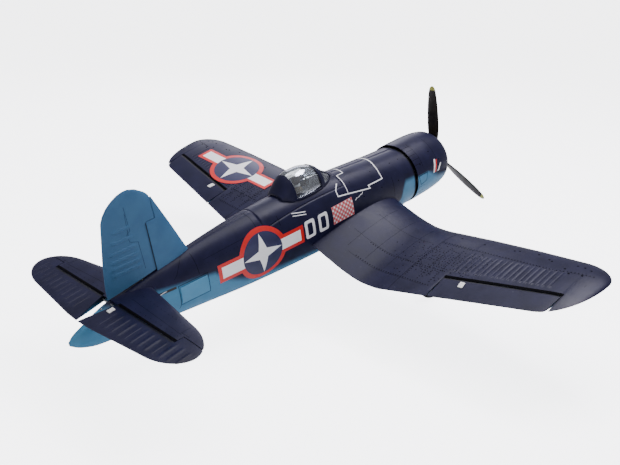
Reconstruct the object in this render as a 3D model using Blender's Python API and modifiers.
"""Foam radio-controlled carrier fighter with a gull wing and folding main gear.

Every piece is modelled in the aircraft's own level frame, in millimetres: x runs forward from
zero at the tip of the propeller nut, y runs to the left wing and z runs up from the thrust line.
The whole airframe is then pitched nose-up, so that it stands on its main wheels and tail wheel,
and moved so that the middle of its footprint is the world origin.
"""

import math
from dataclasses import dataclass, replace

import bmesh
import bpy
import numpy as np
from mathutils import Matrix, Vector

MM = 0.001
WELD = 0.000002
GAP = 0.4
STANCE_PITCH = math.radians(10.0)

# Fuselage: x, half width, top and bottom of each design station.
FUSELAGE = (
    (-183.0, 70.5, 69.5, -71.5),
    (-230.0, 70.0, 73.0, -76.0),
    (-325.0, 68.0, 82.0, -78.0),
    (-415.0, 65.0, 91.0, -76.0),
    (-510.0, 61.0, 98.0, -72.0),
    (-590.0, 56.0, 99.0, -67.0),
    (-695.0, 48.5, 95.0, -58.0),
    (-795.0, 39.0, 86.0, -46.0),
    (-880.0, 32.0, 77.0, -35.0),
    (-950.0, 26.0, 64.0, -25.0),
    (-1000.0, 21.5, 55.0, -17.0),
    (-1050.0, 15.5, 36.5, -6.0),
    (-1072.0, 9.0, 28.0, 5.0),
    (-1082.0, 3.0, 21.5, 13.0),
)
SECTION_POWER = 2.2
SHELL = 5.0
HATCH_FRONT = -402.0
HATCH_REAR = -640.0
HATCH_HALF_WIDTH = 44.0

# Wing: distance from the centreline against the edges, the chord height and the thickness ratio.
HALF_SPAN = 635.0
WING_LEADING = ((50, -254), (250, -254), (345, -252), (460, -256), (576, -263.5), (635, -267.5))
WING_TRAILING = ((50, -524.5), (245, -525), (345, -505), (576, -460), (635, -448.5))
WING_HEIGHT = (
    (50, -18), (100, -37), (150, -54), (190, -62), (225, -61.5),
    (264, -56.5), (345, -46), (460, -30), (576, -14.5), (635, -7),
)
WING_THICKNESS = ((50, 0.17), (200, 0.162), (264, 0.152), (345, 0.14), (576, 0.115), (635, 0.10))
WING_CAMBER = 0.018
PANEL_BREAK = 264.3
TIP_START = 560.0
TIP_CENTRE = 0.3
AILERON_INNER = 350.0
AILERON_OUTER = 586.0
AILERON_HINGE = ((350.0, -446.5), (586.0, -406.0))

# Tail surfaces.
STABILISER_HEIGHT = 55.3
STABILISER_HALF_SPAN = 264.0
STABILISER_TIP_START = 189.0
STABILISER_LEADING = ((0, -903.0), (220, -938.0), (264, -945.0))
STABILISER_TRAILING = ((0, -1059.0), (220, -1036.0), (264, -1031.5))
ELEVATOR_HINGE = -988.0
ELEVATOR_ROOT = 24.6
ELEVATOR_ROOT_SWEEP = 0.32
ELEVATOR_HORN_SPAN = 204.0
ELEVATOR_HORN_FRONT = -967.5
FIN_LEADING = ((60, -789), (95, -805), (156, -829), (225, -858), (237, -869), (249, -886), (254, -901))
FIN_TRAILING = ((60, -991), (84, -989), (136, -982), (212, -967), (235, -951), (251, -924), (254, -911))
RUDDER_HINGE = -884.0
RUDDER_BOTTOM = 80.0
RUDDER_BOTTOM_SLOPE = 0.165
RUDDER_HORN_HEIGHT = 180.0
RUDDER_HORN_FRONT = -861.5
FIN_TOP = 222.0

# Power train.
PROPELLER_RADIUS = 178.0
PROPELLER_PLANE = -25.0
PROPELLER_PITCH = 200.0
COWL_REAR = -181.0

# Landing gear.
GEAR_Y = 187.0
GEAR_PIVOT = Vector((-291.0, GEAR_Y, -74.0))
MAIN_AXLE = Vector((-283.0, GEAR_Y, -192.0))
MAIN_WHEEL_RADIUS = 38.0
TAIL_STEER_X = -880.0
TAIL_AXLE = Vector((-900.0, 0.0, -106.5))
TAIL_WHEEL_RADIUS = 15.0

# Canopy: x, half width and top of each arch.
CANOPY = (
    (-408.0, 12.0, 94.5),
    (-430.0, 28.0, 112.0),
    (-452.0, 35.0, 129.0),
    (-476.0, 38.5, 140.0),
    (-505.0, 39.5, 143.5),
    (-530.0, 38.0, 140.0),
    (-545.0, 35.0, 129.0),
    (-557.0, 30.0, 115.0),
    (-568.0, 22.0, 102.5),
)
HOOD_FRONT = -461.0
HOOD_REAR = -533.0
HOOD_SILL = 88.5
SCREEN_FRONT = -417.0
SCREEN_REAR = -448.0
SCREEN_SILL = 91.5
GLASS_SILL = 86.5

# Control linkage.
CRANK = 17.0
AILERON_LINK_Y = 404.0
AILERON_LINK = 55.0
ELEVATOR_SERVO_X = -838.0
ELEVATOR_ARM_Y = -22.0
AILERON_CLEARANCE = 1.7
AILERON_END_SLANT = 0.075
WHEEL_BAY_ROOF = -51.8
ELEVATOR_HORN_Y = -38.8
LINK_OFFSET = 2.4
RUDDER_SERVO_X = -760.0
TILLER_HEIGHT = 22.0
TILLER = 16.0


def clear_scene():
    """Remove every object, mesh, curve and material that the scene starts with."""
    for obj in list(bpy.data.objects):
        bpy.data.objects.remove(obj, do_unlink=True)
    for pool in (bpy.data.meshes, bpy.data.curves, bpy.data.materials):
        for block in list(pool):
            pool.remove(block)


clear_scene()
PARTS = bpy.data.collections.new("carrier_fighter")
bpy.context.scene.collection.children.link(PARTS)
CUTTERS = bpy.data.collections.new("cutters")
bpy.context.scene.collection.children.link(CUTTERS)


def make_material(name, hex_colour, roughness, metallic=0.0, alpha=1.0):
    """Return a Principled material whose colour is given as an sRGB hex string."""
    channels = [int(hex_colour[i:i + 2], 16) / 255 for i in (1, 3, 5)]
    linear = [c / 12.92 if c <= 0.04045 else ((c + 0.055) / 1.055) ** 2.4 for c in channels]
    material = bpy.data.materials.new(name)
    material.use_nodes = True
    shader = material.node_tree.nodes["Principled BSDF"]
    shader.inputs["Base Color"].default_value = (*linear, 1.0)
    shader.inputs["Roughness"].default_value = roughness
    shader.inputs["Metallic"].default_value = metallic
    shader.inputs["Alpha"].default_value = alpha
    return material


NAVY = make_material("navy_foam", "#3A3C5C", 0.5)
BLUE = make_material("blue_foam", "#3F6E91", 0.5)
PALE = make_material("pale_blue_foam", "#9CC3D8", 0.5)
BLACK = make_material("black_plastic", "#17171A", 0.45)
STEEL = make_material("steel", "#B9BCC2", 0.3, 1.0)
ALUMINIUM = make_material("aluminium", "#C9CCD0", 0.35, 1.0)
RUBBER = make_material("rubber", "#202022", 0.85)
YELLOW = make_material("yellow_plastic", "#E2D76A", 0.4)
WHITE = make_material("white_plastic", "#EDEDEA", 0.45)
CLEAR = make_material("clear_canopy", "#EAF2F5", 0.05, 0.0, 0.3)
FIGURE = make_material("pilot_paint", "#5B4A33", 0.6)
GREY = make_material("grey_plastic", "#5E636B", 0.5)
BATTERY = make_material("battery_wrap", "#2A58A8", 0.35)
BOARD = make_material("circuit_wrap", "#1F6B4A", 0.4)


def empty(name, point, parent=None, rotation=None):
    """Add an empty at a point of the aircraft frame, keeping its parent's frame."""
    holder = bpy.data.objects.new(name, None)
    holder.empty_display_size = 0.02
    PARTS.objects.link(holder)
    holder.parent = parent
    offset = Vector(point) - (ORIGINS[parent] if parent else Vector((0, 0, 0)))
    holder.location = offset * MM
    ORIGINS[holder] = Vector(point)
    if rotation is not None:
        holder.rotation_euler = rotation
    return holder


ORIGINS = {}
AIRFRAME = empty("airframe", (0, 0, 0))


def finish_mesh(name, bm, material, parent=None, smooth=35.0):
    """Turn a bmesh given in metres of the aircraft frame into a part under its parent empty."""
    bmesh.ops.remove_doubles(bm, verts=bm.verts, dist=WELD)
    bmesh.ops.dissolve_degenerate(bm, edges=bm.edges, dist=WELD)
    bmesh.ops.recalc_face_normals(bm, faces=bm.faces)
    mesh = bpy.data.meshes.new(name)
    bm.to_mesh(mesh)
    bm.free()
    mesh.shade_smooth()
    mesh.set_sharp_from_angle(angle=math.radians(smooth))
    obj = bpy.data.objects.new(name, mesh)
    mesh.materials.append(material)
    PARTS.objects.link(obj)
    hang(obj, parent or AIRFRAME)
    return obj


def hang(obj, parent):
    """Give an object its parent, with its own origin on the parent's."""
    obj.data.transform(Matrix.Translation(-ORIGINS[parent] * MM))
    obj.parent = parent


def loft(name, rings, material, parent=None):
    """Skin a row of closed rings and cap both ends."""
    bm = bmesh.new()
    rows = [[bm.verts.new(Vector(point) * MM) for point in ring] for ring in rings]
    for near, far in zip(rows, rows[1:]):
        for i in range(len(near)):
            j = (i + 1) % len(near)
            bm.faces.new((near[i], near[j], far[j], far[i]))
    bm.faces.new(rows[0])
    bm.faces.new(rows[-1][::-1])
    bmesh.ops.triangulate(bm, faces=bm.faces)
    return finish_mesh(name, bm, material, parent)


def box(name, low, high, material, parent=None, bevel=0.0):
    """Add a box between two corners."""
    bm = bmesh.new()
    low, high = Vector(low), Vector(high)
    matrix = Matrix.Translation((low + high) / 2 * MM) @ Matrix.Diagonal([*((high - low) * MM), 1.0])
    bmesh.ops.create_cube(bm, size=1.0, matrix=matrix)
    if bevel:
        bmesh.ops.bevel(bm, geom=bm.edges, offset=bevel * MM, segments=1, affect="EDGES")
    return finish_mesh(name, bm, material, parent)


def rod(name, start, end, radius, material, parent=None, sides=10, end_radius=None):
    """Add a cylinder, or a cone, between two points."""
    start, end = Vector(start), Vector(end)
    turn = (end - start).to_track_quat("Z", "Y").to_matrix().to_4x4()
    bm = bmesh.new()
    bmesh.ops.create_cone(
        bm, cap_ends=True, segments=sides,
        radius1=radius * MM, radius2=(radius if end_radius is None else end_radius) * MM,
        depth=(end - start).length * MM,
        matrix=Matrix.Translation((start + end) / 2 * MM) @ turn,
    )
    return finish_mesh(name, bm, material, parent)


def turned(name, outline, axis, centre, material, parent=None, steps=16):
    """Turn an outline of (along, radius) points about an axis through a centre.

    The outline either closes on itself away from the axis or starts and ends on the axis.
    """
    bm = bmesh.new()
    points = [bm.verts.new((radius * MM, 0, along * MM)) for along, radius in outline]
    pairs = list(zip(points, points[1:]))
    if outline[0][1] > 0:
        pairs.append((points[-1], points[0]))
    for pair in pairs:
        bm.edges.new(pair)
    mesh = bpy.data.meshes.new(name)
    bm.to_mesh(mesh)
    bm.free()
    blank = bpy.data.objects.new(name + "_profile", mesh)
    CUTTERS.objects.link(blank)
    screw = blank.modifiers.new("turn", "SCREW")
    screw.axis = "Z"
    screw.steps = steps
    screw.render_steps = steps
    screw.use_merge_vertices = True
    screw.merge_threshold = 0.000001
    solid = evaluated_mesh(blank)
    bpy.data.objects.remove(blank, do_unlink=True)
    turn = Vector(axis).to_track_quat("Z", "Y").to_matrix().to_4x4()
    solid.transform(Matrix.Translation(Vector(centre) * MM) @ turn)
    result = bmesh.new()
    result.from_mesh(solid)
    return finish_mesh(name, result, material, parent)


def plate(name, outlines, thickness, matrix, material, parent=None):
    """Extrude a flat outline, with any holes as further outlines, and place it by a matrix."""
    curve = bpy.data.curves.new(name, "CURVE")
    curve.dimensions = "2D"
    curve.fill_mode = "BOTH"
    curve.extrude = thickness / 2 * MM
    for outline in outlines:
        spline = curve.splines.new("POLY")
        spline.points.add(len(outline) - 1)
        for point, (u, v) in zip(spline.points, outline):
            point.co = (u * MM, v * MM, 0, 1)
        spline.use_cyclic_u = True
    blank = bpy.data.objects.new(name + "_outline", curve)
    CUTTERS.objects.link(blank)
    solid = evaluated_mesh(blank)
    bpy.data.objects.remove(blank, do_unlink=True)
    solid.transform(matrix)
    result = bmesh.new()
    result.from_mesh(solid)
    return finish_mesh(name, result, material, parent)


def evaluated_mesh(obj):
    """Return a new mesh with the object's modifiers applied."""
    graph = bpy.context.evaluated_depsgraph_get()
    graph.update()
    return bpy.data.meshes.new_from_object(obj.evaluated_get(graph), depsgraph=graph)


def combine(target, tools, operation):
    """Apply exact Booleans between a part and its tools, which are then removed."""
    for tool in tools:
        modifier = target.modifiers.new("cut", "BOOLEAN")
        modifier.operation = operation
        modifier.object = tool
        mesh = evaluated_mesh(target)
        target.modifiers.remove(modifier)
        bm = bmesh.new()
        bm.from_mesh(mesh)
        bmesh.ops.remove_doubles(bm, verts=bm.verts, dist=WELD)
        bmesh.ops.triangulate(bm, faces=[face for face in bm.faces if len(face.verts) > 4])
        bm.to_mesh(mesh)
        bm.free()
        material = target.data.materials[0]
        target.data = mesh
        mesh.materials.clear()
        mesh.materials.append(material)
        mesh.name = target.name
        bpy.data.objects.remove(tool, do_unlink=True)
    return target


def cut(target, *tools):
    """Cut tools away from a part."""
    return combine(target, tools, "DIFFERENCE")


def join(target, *tools):
    """Join touching pieces into one solid."""
    return combine(target, tools, "UNION")


def smooth_value(points, column, x):
    """Read one column of a table by a smooth curve through its points."""
    table = np.array(sorted(points), float)
    xs, ys = table[:, 0], table[:, column]
    slopes = np.gradient(ys, xs)
    x = float(np.clip(x, xs[0], xs[-1]))
    i = int(np.clip(np.searchsorted(xs, x) - 1, 0, len(xs) - 2))
    step = xs[i + 1] - xs[i]
    t = (x - xs[i]) / step
    return float(
        (2 * t**3 - 3 * t**2 + 1) * ys[i] + (t**3 - 2 * t**2 + t) * step * slopes[i]
        + (3 * t**2 - 2 * t**3) * ys[i + 1] + (t**3 - t**2) * step * slopes[i + 1]
    )


def line_value(points, x):
    """Read a table of two columns by straight lines."""
    return float(np.interp(x, [p[0] for p in points], [p[1] for p in points]))


# ---------------------------------------------------------------- fuselage

def section(x, offset=0.0):
    """Half width, middle height and half height of the fuselage at a station."""
    width, top, bottom = (smooth_value(FUSELAGE, column, x) for column in (1, 2, 3))
    return width + offset, (top + bottom) / 2, (top - bottom) / 2 + offset


def rim_point(x, angle, offset=0.0, limit=0.75):
    """A point of the fuselage skin; the angle runs from the top towards the left side."""
    width, middle, height = section(x)
    inset = max(offset, -limit * width)
    power = 2 / SECTION_POWER
    sine, cosine = math.sin(angle), math.cos(angle)
    y = (width + inset) * math.copysign(abs(sine) ** power, sine)
    z = middle + (height + inset) * math.copysign(abs(cosine) ** power, cosine)
    return Vector((x, y, z))


def skin_height(x, y, offset=0.0):
    """Height of the upper skin above a point of the deck."""
    width, middle, height = section(x, offset)
    return middle + height * max(1 - (abs(y) / width) ** SECTION_POWER, 0) ** (1 / SECTION_POWER)


def skin_side(x, z, offset=0.0):
    """Distance of the side skin from the centreline at a height."""
    width, middle, height = section(x, offset)
    return width * max(1 - (abs(z - middle) / height) ** SECTION_POWER, 0) ** (1 / SECTION_POWER)


def ring_stations():
    """Stations of the fuselage rings: the design stations and the points between them."""
    xs = [row[0] for row in FUSELAGE]
    middles = [(a + b) / 2 for a, b in zip(xs[:-7], xs[1:-6])]
    return sorted(xs + middles, reverse=True)


OUTER_STEPS = 10
INNER_STEPS = 6


def half_ring(x, side):
    """Closed section of one half shell, outside from top to bottom and back inside."""
    ring = []
    for steps, offset, order in ((OUTER_STEPS, 0.0, 1), (INNER_STEPS, -SHELL, -1)):
        angles = [math.pi * k / steps for k in range(steps + 1)][::order]
        for angle in angles:
            point = rim_point(x, angle, offset)
            ring.append((x, side * (max(point.y, 0.0) + GAP / 2), point.z))
    return ring


def fuselage_solid(offset):
    """The fuselage's outer form as a solid cutter, with the same facets as the shells."""
    rings = []
    for x in ring_stations():
        angles = [2 * math.pi * k / (2 * OUTER_STEPS) for k in range(2 * OUTER_STEPS)]
        rings.append([rim_point(x, angle, offset) for angle in angles])
    return loft("fuselage_form", rings, NAVY)


def build_fuselage():
    """Two foam half shells with the openings for the hatch, wing tube and tail."""
    for side, word in ((1, "left"), (-1, "right")):
        rings = [half_ring(x, side) for x in ring_stations()]
        shell = loft("fuselage_" + word, rings, NAVY)
        slot = [station_ring(tail_station(y, 1.0), flat=-991.5) for y in (-80, -24, 0, 24, 80)]
        tools = [
            box("t", (HATCH_REAR, -HATCH_HALF_WIDTH, 58), (HATCH_FRONT, HATCH_HALF_WIDTH, 150), NAVY),
            rod("t", (-330, -90, -32), (-330, 90, -32), 5.6, NAVY, sides=16),
            loft("t", slot, NAVY),
            box("t", (-991.2, -30, STABILISER_HEIGHT - 1.1), (-932, 30, 90), NAVY),
            rod("t", (ELEVATOR_HINGE, -30, STABILISER_HEIGHT), (ELEVATOR_HINGE, 30, STABILISER_HEIGHT),
                3.2, NAVY),
            rod("t", (TAIL_STEER_X, 0, -50), (TAIL_STEER_X, 0, -20), 5.6, NAVY, sides=12),
            rod("t", (RUDDER_HINGE, 0, 50), (RUDDER_HINGE, 0, 95), 2.4, NAVY),
        ]
        if side < 0:
            level = STABILISER_HEIGHT - CRANK
            tools.append(box("t", (-934.7, -50, level - 3.5), (-843.3, -22.3, level + 3.5), NAVY))
            tools.append(box("t", (ELEVATOR_SERVO_X - 9, -24.6, level + 10),
                             (ELEVATOR_SERVO_X + 9, -15.3, STABILISER_HEIGHT + 6.2), NAVY))
        cut(shell, *tools)
    build_servo_hatch()


def build_servo_hatch():
    """Pale cover over the tail servo, curved to the right side of the fuselage."""
    rings = []
    for x in (-794, -815, -835, -856):
        heights = [-2 + 35 * k / 4 for k in range(5)]
        outer = [(x, -skin_side(x, z, 2.7), z) for z in heights]
        inner = [(x, -skin_side(x, z, 0.9), z) for z in heights[::-1]]
        rings.append(outer + inner)
    loft("servo_hatch", rings, PALE)


# ---------------------------------------------------------------- lifting surfaces

@dataclass
class Station:
    """One section of a wing or tail surface."""
    span: float
    leading: float
    trailing: float
    level: float
    thickness: float
    camber: float = 0.0

    @property
    def chord(self):
        """Length of the section."""
        return self.leading - self.trailing

    def surface(self, x, sign):
        """Offset of the upper (+1) or lower (-1) surface at a place along the chord."""
        u = min(max((self.leading - x) / self.chord, 0.0), 1.0)
        half = 5 * self.thickness * (
            0.2969 * math.sqrt(u) - 0.1260 * u - 0.3516 * u**2 + 0.2843 * u**3 - 0.1015 * u**4
        )
        crest = 0.3
        if u < crest:
            bow = u / crest * (2 - u / crest)
        else:
            bow = ((1 - 2 * crest) + 2 * crest * u - u * u) / (1 - crest) ** 2
        return self.level + (sign * half + self.camber * bow) * self.chord + sign * 0.45 * u

    def middle(self, x):
        """Middle of the section's thickness at a place along the chord."""
        return (self.surface(x, 1) + self.surface(x, -1)) / 2


def tip_rounded(station, start, end, power, centre):
    """Draw the edges of a section in towards the tip's outermost point."""
    if station.span <= start:
        return station
    t = min((station.span - start) / (end - start), 0.9995)
    k = math.sqrt(1 - t**power)
    middle = station.leading - centre * station.chord
    return replace(
        station,
        leading=middle + (station.leading - middle) * k,
        trailing=middle + (station.trailing - middle) * k,
    )


def wing_station(y):
    """Section of the wing at a distance from the centreline."""
    station = Station(
        y, line_value(WING_LEADING, y), line_value(WING_TRAILING, y),
        smooth_value(WING_HEIGHT, 1, y), line_value(WING_THICKNESS, y), WING_CAMBER,
    )
    return tip_rounded(station, TIP_START, HALF_SPAN, 2.1, TIP_CENTRE)


def tail_station(y, grow=0.0):
    """Section of the stabiliser and elevator, grown all round for a clearance cutter."""
    span = abs(y)
    leading = line_value(STABILISER_LEADING, span)
    trailing = line_value(STABILISER_TRAILING, span)
    station = Station(y, leading, trailing, STABILISER_HEIGHT, 0.095)
    station = tip_rounded(replace(station, span=span), STABILISER_TIP_START, STABILISER_HALF_SPAN, 2.3, 0.48)
    chord = station.chord + 2 * grow
    thickness = (station.thickness * station.chord + 2 * grow) / chord
    return replace(
        station, span=y, leading=station.leading + grow,
        trailing=station.trailing - grow, thickness=thickness,
    )


def fin_station(z):
    """Section of the fin and rudder at a height; its span runs up."""
    thickness = line_value(((60, 0.09), (180, 0.08), (254, 0.09)), z)
    return Station(z, line_value(FIN_LEADING, z), line_value(FIN_TRAILING, z), 0.0, thickness)


CHORD_STEPS = 6
EDGE_STEPS = 4
EDGE_BULGE = 0.3


def spaced(rear, front):
    """Places along the chord, from rear to front and closer together at the front."""
    return [front - (front - rear) * (1 - math.sin(math.pi / 2 * k / CHORD_STEPS)) for k in range(CHORD_STEPS + 1)]


def station_ring(station, side=1, nose=True, hinge=None, flat=None, upright=False, clearance=None):
    """Closed outline of all or part of a section.

    A fixed surface keeps the nose and ends at a hollow edge round its hinge, or at a flat edge.
    A moving surface keeps the tail and starts with a round edge on its hinge, or a flat edge.

    Args:
        station: the section.
        side: +1 for the left side, -1 for the right.
        nose: whether the front part is kept, as on a fixed surface.
        hinge: (x, level) of the hinge axis at this section.
        flat: x of a flat edge, used in place of a hinge.
        upright: whether the span runs up, as on the fin.
        clearance: gap between the moving and the fixed surface at the hinge.
    """
    edge = []
    if hinge is not None:
        axis, level = hinge
        upper = station.surface(axis, 1) - level
        lower = level - station.surface(axis, -1)
        if nose:
            reach = max(upper, lower) + clearance
            turn = math.acos(min(upper / reach, 1.0))
            back = math.acos(min(lower / reach, 1.0))
            angles = [turn + (math.pi - turn - back) * k / EDGE_STEPS for k in range(EDGE_STEPS + 1)]
            edge = [(axis + reach * math.sin(a), level + reach * math.cos(a)) for a in angles]
        else:
            angles = [math.pi * k / EDGE_STEPS for k in range(EDGE_STEPS + 1)]
            for a in angles:
                reach = upper + (lower - upper) * a / math.pi
                edge.append((axis + reach * math.sin(a), level + reach * math.cos(a)))
    else:
        x = station.trailing if flat is None else flat
        top, bottom = station.surface(x, 1), station.surface(x, -1)
        for k in range(EDGE_STEPS + 1):
            bulge = EDGE_BULGE * math.sin(math.pi * k / EDGE_STEPS)
            edge.append((x - bulge if nose else x + bulge, top + (bottom - top) * k / EDGE_STEPS))
    if nose:
        rear = edge[0][0]
        upper_line = [(x, station.surface(x, 1)) for x in spaced(rear, station.leading)][1:]
        rear = edge[-1][0]
        lower_line = [(x, station.surface(x, -1)) for x in spaced(rear, station.leading)][1:-1]
        outline = edge[::-1] + upper_line + lower_line[::-1]
    else:
        start = edge[0][0]
        places = [start + (station.trailing - start) * k / CHORD_STEPS for k in range(1, CHORD_STEPS + 1)]
        upper_line = [(x, station.surface(x, 1)) for x in places]
        lower_line = [(x, station.surface(x, -1)) for x in places]
        lower_line[-1] = (station.trailing - EDGE_BULGE, lower_line[-1][1])
        outline = edge + lower_line + upper_line[::-1]
    if upright:
        return [(x, level, station.span) for x, level in outline]
    return [(x, side * station.span, level) for x, level in outline]


def aileron_axis(y):
    """The aileron's hinge line at a distance from the centreline, as (x, level)."""
    (y0, x0), (y1, x1) = AILERON_HINGE
    z0 = wing_station(y0).middle(x0)
    z1 = wing_station(y1).middle(x1)
    t = (y - y0) / (y1 - y0)
    return x0 + (x1 - x0) * t, z0 + (z1 - z0) * t


def build_wing(side, word):
    """Inner gull panel with the gear bay, outer panel with the servo bay, and the aileron."""
    inner = [station_ring(wing_station(y), side) for y in (50, 75, 100, 125, 150, 175, 200, 225, 245, 264)]
    panel = loft("wing_inner_" + word, inner, NAVY)
    tools = [
        fuselage_solid(GAP),
        rod("t", (-330, side * 40, -32), (-330, side * 112, -32), 5.4, NAVY, sides=16),
        rod("t", (-409, side * GEAR_Y, -120), (-409, side * GEAR_Y, WHEEL_BAY_ROOF), 43, NAVY, sides=28),
        box("t", (-372, side * GEAR_Y - 13, -120), (-300, side * GEAR_Y + 13, -53), NAVY),
        box("t", (-318, side * GEAR_Y - 15, -120), (-270, side * GEAR_Y + 15, -53), NAVY),
    ]
    cut(panel, *tools)

    spans = [264.6, 305, AILERON_INNER - 0.6]
    rings = [station_ring(wing_station(y), side) for y in spans]
    for y in (AILERON_INNER - 0.3, 400, 460, 520, 560, AILERON_OUTER + 0.3):
        rings.append(station_ring(wing_station(y), side, hinge=aileron_axis(y), clearance=AILERON_CLEARANCE))
    for y in (AILERON_OUTER + 0.6, 600, 611, 620, 627, 632, 634.9):
        rings.append(station_ring(wing_station(y), side))
    panel = loft("wing_outer_" + word, rings, NAVY)
    x, level = aileron_axis(AILERON_LINK_Y)
    x += AILERON_LINK
    low, high = sorted((side * 379.0, side * 409.5))
    cut(panel, box("t", (x - 14, low, -80), (x + 13, high, level + 7), NAVY))

    hinge_inner = aileron_axis(AILERON_INNER)
    pivot = empty("aileron_axis_" + word, (hinge_inner[0], side * AILERON_INNER, hinge_inner[1]), AIRFRAME)
    rings = [
        station_ring(wing_station(y), side, nose=False, hinge=aileron_axis(y))
        for y in (AILERON_INNER + 0.6, 400, 460, 520, 560, AILERON_OUTER - 0.6)
    ]
    for index, y, way in ((0, AILERON_INNER, side), (-1, AILERON_OUTER, -side)):
        axis = aileron_axis(y)[0]
        rings[index] = [(x, v + way * AILERON_END_SLANT * max(axis - x, 0), z) for x, v, z in rings[index]]
    loft("aileron_" + word, rings, NAVY, pivot)
    build_aileron_linkage(side, word, pivot)


def build_aileron_linkage(side, word, pivot):
    """Servo, its arm, the pushrod and the horn of one aileron; all cranks point straight down."""
    x, z = aileron_axis(AILERON_LINK_Y)
    horn_axis = Vector((x, side * AILERON_LINK_Y, z))
    servo_axis = horn_axis + Vector((AILERON_LINK, 0, 0))
    station = wing_station(AILERON_LINK_Y)
    skin = station.surface(x - 6, -1) - 0.6
    flat = [(x - 16, skin - 1.5), (x - 2, skin - 1.0), (x + 3.5, z - CRANK + 2), (x, z - CRANK - 3),
            (x - 5, z - CRANK)]
    matrix = Matrix.Translation(Vector((0, horn_axis.y, 0)) * MM) @ Matrix.Rotation(math.pi / 2, 4, "X")
    plate("aileron_horn_" + word, [flat], 1.8, matrix, WHITE, pivot)

    body = [servo_axis + Vector((-12, 0, -6)), servo_axis + Vector((11, 0, 6))]
    body[0].y, body[1].y = sorted((side * 381, side * 400.5))
    servo = box("aileron_servo_" + word, body[0], body[1], BLACK)
    shaft_start = servo_axis.copy()
    shaft_start.y = side * 398
    shaft_end = servo_axis.copy()
    shaft_end.y = side * 402.6
    join(servo, rod("t", shaft_start, shaft_end, 2.6, BLACK))
    arm_pivot = empty("aileron_servo_axis_" + word, servo_axis, AIRFRAME)
    low = servo_axis + Vector((-2.6, -0.9, -CRANK - 2.6))
    high = servo_axis + Vector((2.6, 0.9, 3.6))
    box("aileron_servo_arm_" + word, low, high, WHITE, arm_pivot, bevel=0.6)

    tip = servo_axis + Vector((0, 0, -CRANK))
    link_pivot = empty("aileron_link_axis_" + word, tip, arm_pivot)
    shift = Vector((0, side * 2.5, 0))
    rod("aileron_pushrod_" + word, tip + shift + Vector((3, 0, 0)),
        horn_axis + shift + Vector((-3, 0, -CRANK)), 0.9, STEEL, link_pivot, sides=8)


def build_stabiliser():
    """One-piece stabiliser, two elevators, the joiner with its horn, and the linkage."""
    axis = (ELEVATOR_HINGE, STABILISER_HEIGHT)
    spans = (0, 24, 80, 140, 189, ELEVATOR_HORN_SPAN - 0.6)
    horn_spans = (ELEVATOR_HORN_SPAN - 0.3, 215, 230, 243, 253)
    rings = []
    for y in sorted({s * v for s in (-1, 1) for v in spans + horn_spans}):
        station = tail_station(y)
        if abs(y) in spans:
            rings.append(station_ring(station, hinge=axis, clearance=0.8))
        else:
            rings.append(station_ring(station, flat=ELEVATOR_HORN_FRONT + 1.5))
    loft("stabiliser", rings, NAVY)

    pivot = empty("elevator_axis", (ELEVATOR_HINGE, 0, STABILISER_HEIGHT), AIRFRAME)
    for side, word in ((1, "left"), (-1, "right")):
        rings = []
        root = station_ring(tail_station(ELEVATOR_ROOT), side, nose=False, hinge=axis)
        rings.append([
            (x, y - side * ELEVATOR_ROOT_SWEEP * max(ELEVATOR_HINGE - x, 0), z) for x, y, z in root])
        for y in (34, 90, 145, 189, ELEVATOR_HORN_SPAN + 0.2):
            rings.append(station_ring(tail_station(y), side, nose=False, hinge=axis))
        for y in (ELEVATOR_HORN_SPAN + 0.5, 215, 230, 243, 253, 260, 263.6):
            station = tail_station(y)
            front = min(ELEVATOR_HORN_FRONT, station.leading - 0.4)
            rings.append(station_ring(station, side, nose=False, flat=front))
        loft("elevator_" + word, rings, NAVY, pivot)

    reach = ELEVATOR_ROOT - 0.5
    rod("elevator_joiner", (ELEVATOR_HINGE, -reach, STABILISER_HEIGHT),
        (ELEVATOR_HINGE, reach, STABILISER_HEIGHT), 1.8, STEEL, pivot)
    build_elevator_linkage(pivot)


def build_elevator_linkage(pivot):
    """Tail servo and arm inside, the pushrod through its slot, and the horn on the right elevator."""
    height = STABILISER_HEIGHT
    servo = box("elevator_servo", (ELEVATOR_SERVO_X - 12, -14.5, height - 6),
                (ELEVATOR_SERVO_X + 11, 5.5, height + 6), BLACK)
    join(servo, rod("t", (ELEVATOR_SERVO_X, -12, height), (ELEVATOR_SERVO_X, -20.6, height), 2.6, BLACK))
    arm_pivot = empty("elevator_servo_axis", (ELEVATOR_SERVO_X, ELEVATOR_ARM_Y, height), AIRFRAME)
    box("elevator_servo_arm", (ELEVATOR_SERVO_X - 2.6, ELEVATOR_ARM_Y - 1, height - CRANK - 2.6),
        (ELEVATOR_SERVO_X + 2.6, ELEVATOR_ARM_Y + 1, height + 3.6), WHITE, arm_pivot, bevel=0.6)
    link_pivot = empty("elevator_link_axis", (ELEVATOR_SERVO_X, ELEVATOR_ARM_Y, height - CRANK), arm_pivot)
    rod("elevator_pushrod", (ELEVATOR_SERVO_X + 3, ELEVATOR_ARM_Y - LINK_OFFSET, height - CRANK),
        (ELEVATOR_HINGE - 3, ELEVATOR_HORN_Y - 1.5 * LINK_OFFSET, height - CRANK), 1.0, STEEL,
        link_pivot, sides=8)
    skin = tail_station(ELEVATOR_HORN_Y).surface(ELEVATOR_HINGE - 6, -1) - 0.5
    flat = [(-1008, skin - 0.6), (ELEVATOR_HINGE - 3, skin - 1.2), (ELEVATOR_HINGE + 3, height - CRANK + 1),
            (ELEVATOR_HINGE, height - CRANK - 3), (ELEVATOR_HINGE - 5, height - CRANK)]
    matrix = Matrix.Translation(Vector((0, ELEVATOR_HORN_Y, 0)) * MM) @ Matrix.Rotation(math.pi / 2, 4, "X")
    plate("elevator_horn", [flat], 2.0, matrix, WHITE, pivot)


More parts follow.
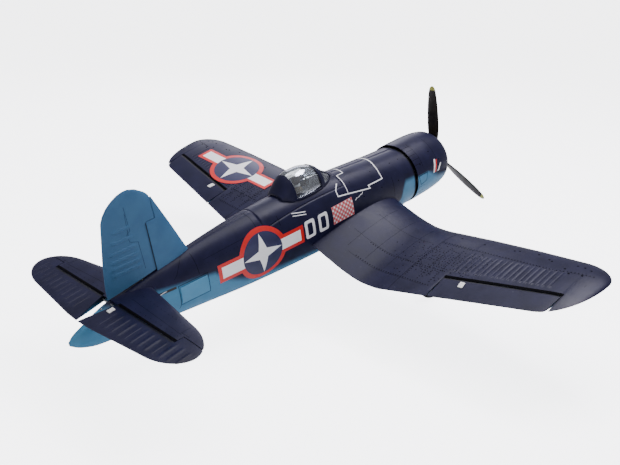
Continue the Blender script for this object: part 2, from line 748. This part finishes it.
def build_fin():
    """Fin, rudder, torque rod with tiller, and the servo linkage inside the fuselage."""
    axis = (RUDDER_HINGE, 0.0)
    rings = []
    for z in (60, 80, 95, 125, 156, RUDDER_HORN_HEIGHT - 0.6):
        rings.append(station_ring(fin_station(z), hinge=axis, clearance=0.9, upright=True))
    for z in (RUDDER_HORN_HEIGHT - 0.3, 200, FIN_TOP):
        rings.append(station_ring(fin_station(z), flat=RUDDER_HORN_FRONT + 1.6, upright=True))
    fin = loft("fin", rings, BLUE)
    cut(fin, fuselage_solid(GAP))

    pivot = empty("rudder_axis", (RUDDER_HINGE, 0, RUDDER_BOTTOM), AIRFRAME)
    root = station_ring(fin_station(RUDDER_BOTTOM), nose=False, hinge=axis, upright=True)
    rings = [[(x, y, z - RUDDER_BOTTOM_SLOPE * max(RUDDER_HINGE - x, 0)) for x, y, z in root]]
    for z in (110, 136, 160, RUDDER_HORN_HEIGHT + 0.3):
        rings.append(station_ring(fin_station(z), nose=False, hinge=axis, upright=True))
    for z in (RUDDER_HORN_HEIGHT + 0.6, 200, 212, 225, 235, 243, 249, 252, 253.8):
        station = fin_station(z)
        front = min(RUDDER_HORN_FRONT, station.leading - 0.4)
        rings.append(station_ring(station, nose=False, flat=front, upright=True))
    loft("rudder", rings, BLUE, pivot)

    stem = rod("rudder_torque_rod", (RUDDER_HINGE, 0, TILLER_HEIGHT - 1.4),
               (RUDDER_HINGE, 0, RUDDER_BOTTOM - 0.4), 1.5, STEEL, pivot)
    join(stem, box("t", (RUDDER_HINGE - 2.5, -3, TILLER_HEIGHT - 1.5),
                   (RUDDER_HINGE + 2.5, TILLER + 3, TILLER_HEIGHT + 1.5), STEEL))
    servo = box("rudder_servo", (RUDDER_SERVO_X - 12, -6, TILLER_HEIGHT - 27),
                (RUDDER_SERVO_X + 11, 6, TILLER_HEIGHT - 5), BLACK)
    join(servo, rod("t", (RUDDER_SERVO_X, 0, TILLER_HEIGHT - 8), (RUDDER_SERVO_X, 0, TILLER_HEIGHT - 2),
                    2.6, BLACK))
    arm_pivot = empty("rudder_servo_axis", (RUDDER_SERVO_X, 0, TILLER_HEIGHT), AIRFRAME)
    box("rudder_servo_arm", (RUDDER_SERVO_X - 2.5, -3, TILLER_HEIGHT - 1.5),
        (RUDDER_SERVO_X + 2.5, TILLER + 3, TILLER_HEIGHT + 1.5), WHITE, arm_pivot, bevel=0.5)
    link_pivot = empty("rudder_link_axis", (RUDDER_SERVO_X, TILLER, TILLER_HEIGHT), arm_pivot)
    rod("rudder_pushrod", (RUDDER_SERVO_X + 3, TILLER, TILLER_HEIGHT + 2.9),
        (RUDDER_HINGE - 3, TILLER, TILLER_HEIGHT + 2.9), 1.0, STEEL, link_pivot, sides=8)


# ---------------------------------------------------------------- power train and radio

def build_power():
    """Cowl, dummy radial engine, motor on its mount, propeller and nut."""
    outer = [(-46, 56), (-48, 61), (-55, 66.5), (-70, 71), (-100, 74.3), (-150, 75.5), (COWL_REAR, 75.5)]
    inner = [(COWL_REAR, 73.7), (-150, 73.7), (-100, 72.3), (-72, 69), (-58, 64), (-50, 58.5), (-47.5, 55)]
    turned("cowl", outer + inner, (1, 0, 0), (0, 0, 0), NAVY, steps=32)
    mount = [(-182.6, 27), (-182.6, 64), (-178.6, 64), (-178.6, 31), (-97, 19), (-97, 5), (-100, 5),
             (-100, 15)]
    turned("motor_mount", mount, (1, 0, 0), (0, 0, 0), BLACK, steps=20)
    stator = [(-96.6, 0), (-96.6, 19), (-90, 19), (-90, 16), (-58, 16), (-58, 0)]
    turned("motor_stator", stator, (1, 0, 0), (0, 0, 0), ALUMINIUM)
    build_engine()

    pivot = empty("propeller_axis", (PROPELLER_PLANE, 0, 0), AIRFRAME)
    can = [(-56, 0), (-56, 18.4), (-88, 18.4), (-88, 21), (-52, 21), (-46, 14), (-39.6, 14), (-39.6, 0)]
    turned("motor_can", can, (1, 0, 0), (0, 0, 0), GREY, pivot)
    hub = [(-39.2, 0), (-39.2, 14), (-35, 14), (-33, 16), (-18, 16), (-16.8, 14), (-16.8, 0)]
    propeller = turned("propeller", hub, (1, 0, 0), (0, 0, 0), BLACK, pivot)
    join(propeller, *[build_blade(k, pivot) for k in range(3)])
    nut = [(-16.4, 0), (-16.4, 12), (-10, 11.5), (-5, 9), (-1.5, 5), (0, 0)]
    turned("propeller_nut", nut, (1, 0, 0), (0, 0, 0), YELLOW, pivot, steps=20)


def build_blade(index, pivot):
    """One twisted propeller blade, starting inside the hub."""
    rings = []
    lengths = ((8, 15, 9), (30, 20, 7), (60, 27, 5), (100, 28, 4), (140, 24, 3), (165, 18, 2.4),
               (174, 12, 2), (PROPELLER_RADIUS, 5, 1.4))
    for radius, chord, thickness in lengths:
        pitch = min(math.atan2(PROPELLER_PITCH, 2 * math.pi * radius), math.radians(42))
        along = Vector((math.sin(pitch), -math.cos(pitch), 0))
        across = Vector((math.cos(pitch), math.sin(pitch), 0))
        ring = []
        for k in range(8):
            angle = 2 * math.pi * k / 8
            point = along * math.cos(angle) * chord / 2 + across * math.sin(angle) * thickness / 2
            ring.append(point + Vector((PROPELLER_PLANE, 0, radius)))
        rings.append(ring)
    turn = Matrix.Rotation(2 * math.pi * index / 3, 3, "X")
    return loft("blade", [[turn @ point for point in ring] for ring in rings], BLACK, pivot)


def build_engine():
    """Nine-cylinder dummy radial engine: a lobed ring round the motor."""
    outline = []
    for cylinder in range(9):
        for degrees, radius in ((-14, 36), (-10, 67), (10, 67), (14, 36)):
            angle = 2 * math.pi * cylinder / 9 + math.radians(degrees)
            outline.append((radius * math.cos(angle), radius * math.sin(angle)))
    hole = [(24 * math.cos(a), 24 * math.sin(a)) for a in np.linspace(0, 2 * math.pi, 17)[:-1]]
    matrix = Matrix.Translation(Vector((-84, 0, 0)) * MM) @ Matrix.Rotation(math.pi / 2, 4, "Y")
    plate("dummy_engine", [outline, hole], 22, matrix, GREY)


def build_radio():
    """Battery, speed controller and receiver inside the fuselage."""
    box("battery", (-325, -21, -20), (-215, 21, 8), BATTERY, bevel=2)
    box("speed_controller", (-262, -14, -52), (-200, 14, -40), BOARD, bevel=1)
    box("receiver", (-470, -13, -54), (-425, 13, -42), GREY, bevel=1)
    rod("wing_joiner", (-330, -110, -32), (-330, 110, -32), 5.0, ALUMINIUM, sides=16)


# ---------------------------------------------------------------- cockpit

def arch(x, inset):
    """Half width, sill and crown of the canopy at a station, drawn in by an inset."""
    width = smooth_value(CANOPY, 1, x)
    return width - inset, skin_height(x, width - 3.5) + 1.0, smooth_value(CANOPY, 2, x) - inset


def arch_ring(x, inset, thickness, steps=10):
    """Closed section of the canopy shell."""
    ring = []
    for depth, order in ((inset, 1), (inset + thickness, -1)):
        width, sill, crown = arch(x, depth)
        angles = [math.radians(-90 + 180 * k / steps) for k in range(steps + 1)][::order]
        for angle in angles:
            ring.append((x, width * math.sin(angle), sill + (crown - sill) * math.cos(angle) ** 0.9))
    return ring


def build_canopy():
    """Lift-off hatch that carries the cockpit, the canopy frame and its clear panes."""
    lift = empty("hatch_axis", (-520, 0, 90), AIRFRAME)
    reach = HATCH_HALF_WIDTH - 0.6
    rings = []
    for x in np.linspace(HATCH_FRONT - 0.5, HATCH_REAR + 0.5, 7):
        spread = [reach * math.sin(math.pi / 2 * (k / 5 - 1)) for k in range(11)]
        outer = [(x, y, skin_height(x, y)) for y in spread]
        inner = [(x, y, skin_height(x, y) - 4.5) for y in spread[::-1]]
        rings.append(outer + inner)
    hatch = loft("canopy_hatch", rings, NAVY, lift)
    cut(hatch, box("t", (-545.5, -27.6, 40), (-446.5, 27.6, 130), NAVY, lift))

    frame_stations = np.linspace(CANOPY[0][0], CANOPY[-1][0], 11)
    frame = loft("canopy_frame", [arch_ring(x, 0.0, 1.6) for x in frame_stations], NAVY, lift)
    cut(
        frame,
        box("t", (HOOD_REAR, -60, HOOD_SILL), (HOOD_FRONT, 60, 170), NAVY, lift),
        box("t", (SCREEN_REAR, -60, SCREEN_SILL), (SCREEN_FRONT, 60, 170), NAVY, lift),
    )
    glass_stations = [x for x in frame_stations if -540 < x < CANOPY[0][0]]
    glass = loft("canopy_glass", [arch_ring(x, 1.95, 0.9) for x in glass_stations], CLEAR, lift)
    cut(glass, box("t", (-560, -60, 20), (-380, 60, GLASS_SILL), NAVY, lift))

    tub = box("cockpit_tub", (-545, -27, 46), (-447, 27, 84), BLACK, lift)
    cut(tub, box("t", (-543, -25, 48), (-449, 25, 120), BLACK, lift))
    pilot = rod("pilot", (-503, 0, 48.5), (-503, 0, 98), 15, FIGURE, lift, sides=16, end_radius=11)
    join(
        pilot,
        rod("t", (-503, 0, 94), (-503, 0, 108), 5.5, FIGURE, lift, sides=12),
        build_head(lift),
        rod("t", (-503, -19, 92), (-503, 19, 92), 6, FIGURE, lift, sides=12),
    )


def build_head(parent):
    """The pilot's head in a flying helmet."""
    bm = bmesh.new()
    shape = Matrix.Translation(Vector((-502, 0, 113)) * MM) @ Matrix.Diagonal((1.1, 0.95, 1.15, 1.0))
    bmesh.ops.create_uvsphere(bm, u_segments=12, v_segments=7, radius=10 * MM, matrix=shape)
    return finish_mesh("head", bm, FIGURE, parent)


# ---------------------------------------------------------------- landing gear

def tyre_outline(inner, outer, half_width):
    """Half-round tyre section, as (along the axle, radius) points."""
    depth = outer - inner
    outline = [(-half_width * 0.72, inner), (-half_width, inner + depth * 0.25)]
    for k in range(5):
        angle = math.radians(-72 + 36 * k)
        outline.append((half_width * math.sin(angle), inner + depth * (0.45 + 0.55 * math.cos(angle))))
    return outline + [(half_width, inner + depth * 0.25), (half_width * 0.72, inner)]


def build_main_gear(side, word):
    """Retract unit, folding pivot block, twisting strut and the wheel of one side."""
    mirror = Vector((1, side, 1))
    pivot_point = GEAR_PIVOT * mirror
    axle = MAIN_AXLE * mirror
    outline = [(-14, -53.8), (14, -53.8), (14, -80), (10.3, -80), (10.3, -58), (-10.3, -58), (-10.3, -80),
               (-14, -80)]
    matrix = Matrix.Translation(Vector((-294, side * GEAR_Y, 0)) * MM) @ Matrix(
        ((0, 0, 1, 0), (1, 0, 0, 0), (0, 1, 0, 0), (0, 0, 0, 1)))
    plate("retract_unit_" + word, [outline], 44, matrix, GREY)

    fold = empty("gear_fold_axis_" + word, pivot_point, AIRFRAME)
    leg = (axle - pivot_point).normalized()
    half_block = Vector((7, 9.8, 7))
    box("gear_pivot_" + word, pivot_point - half_block, pivot_point + half_block, ALUMINIUM, fold, bevel=1)

    twist = empty("gear_twist_axis_" + word, pivot_point, fold)
    strut = rod("gear_strut_" + word, pivot_point + leg * 8.6, pivot_point + leg * 60, 4.6, STEEL, twist, 12)
    out = Vector((0, side * 13.5, 0))
    knee = pivot_point + leg * 72
    join(
        strut,
        rod("t", pivot_point + leg * 56, knee + leg * 2, 3.4, STEEL, twist, 8),
        rod("t", knee - out * 0.25, knee + out * 1.15, 3.2, STEEL, twist, 8),
        rod("t", knee + out, axle + out + leg * 3, 2.4, STEEL, twist, 8),
        rod("t", axle + out * 1.1, axle - out * 0.55, 2.3, STEEL, twist, 8),
    )

    spin = empty("main_wheel_axis_" + word, axle, twist)
    hub = [(-7, 2.6), (-7, 10), (-3, 15), (-7, 25), (7, 25), (3, 15), (7, 10), (7, 2.6)]
    turned("main_wheel_hub_" + word, hub, (0, 1, 0), axle, ALUMINIUM, spin)
    turned("main_tyre_" + word, tyre_outline(25.3, MAIN_WHEEL_RADIUS, 10), (0, 1, 0), axle, RUBBER, spin, 24)


def build_tail_gear():
    """Steering mount in the fuselage, fork and tail wheel."""
    mount = box("tail_gear_mount", (TAIL_STEER_X - 8, -6, -22), (TAIL_STEER_X + 8, 6, -8), BLACK)
    join(mount, rod("t", (TAIL_STEER_X, 0, -12), (TAIL_STEER_X, 0, -60), 5, BLACK, sides=12))
    steer = empty("tail_steer_axis", (TAIL_STEER_X, 0, -60), AIRFRAME)
    fork = rod("tail_wheel_fork", (TAIL_STEER_X, 0, -60.4), (TAIL_STEER_X, 0, -84), 3.2, STEEL, steer, 12)
    crown = [(TAIL_STEER_X - 8, -8, -88), (TAIL_STEER_X + 4, 8, -82)]
    arms = []
    for side in (-1, 1):
        start = Vector((TAIL_STEER_X - 4, side * 6.6, -84))
        end = TAIL_AXLE + Vector((0, side * 6.6, 0))
        arms.append(rod("t", start, end + (end - start).normalized() * 3, 1.6, STEEL, steer, 8))
    axle = rod("t", TAIL_AXLE - Vector((0, 7.6, 0)), TAIL_AXLE + Vector((0, 7.6, 0)), 1.4, STEEL, steer, 8)
    join(fork, box("t", crown[0], crown[1], STEEL, steer), *arms, axle)
    spin = empty("tail_wheel_axis", TAIL_AXLE, steer)
    outline = [(-4, 1.8), (-4.5, 10), (-3, 13.6), (0, TAIL_WHEEL_RADIUS), (3, 13.6), (4.5, 10), (4, 1.8)]
    turned("tail_wheel", outline, (0, 1, 0), TAIL_AXLE, RUBBER, spin, 16)


def stand_on_ground():
    """Pitch the airframe to its parked stance and put the footprint's middle at the origin."""
    AIRFRAME.rotation_euler = (0, -STANCE_PITCH, 0)
    graph = bpy.context.evaluated_depsgraph_get()
    graph.update()
    corners = []
    for obj in PARTS.objects:
        if obj.type == "MESH":
            corners += [obj.matrix_world @ vertex.co for vertex in obj.evaluated_get(graph).data.vertices]
    low = Vector([min(corner[i] for corner in corners) for i in range(3)])
    high = Vector([max(corner[i] for corner in corners) for i in range(3)])
    AIRFRAME.location = (-(low.x + high.x) / 2, -(low.y + high.y) / 2, -low.z)
    graph.update()


def main():
    """Build every sub-part of the model."""
    build_fuselage()
    for side, word in ((1, "left"), (-1, "right")):
        build_wing(side, word)
        build_main_gear(side, word)
    build_stabiliser()
    build_fin()
    build_power()
    build_radio()
    build_canopy()
    build_tail_gear()
    stand_on_ground()


main()
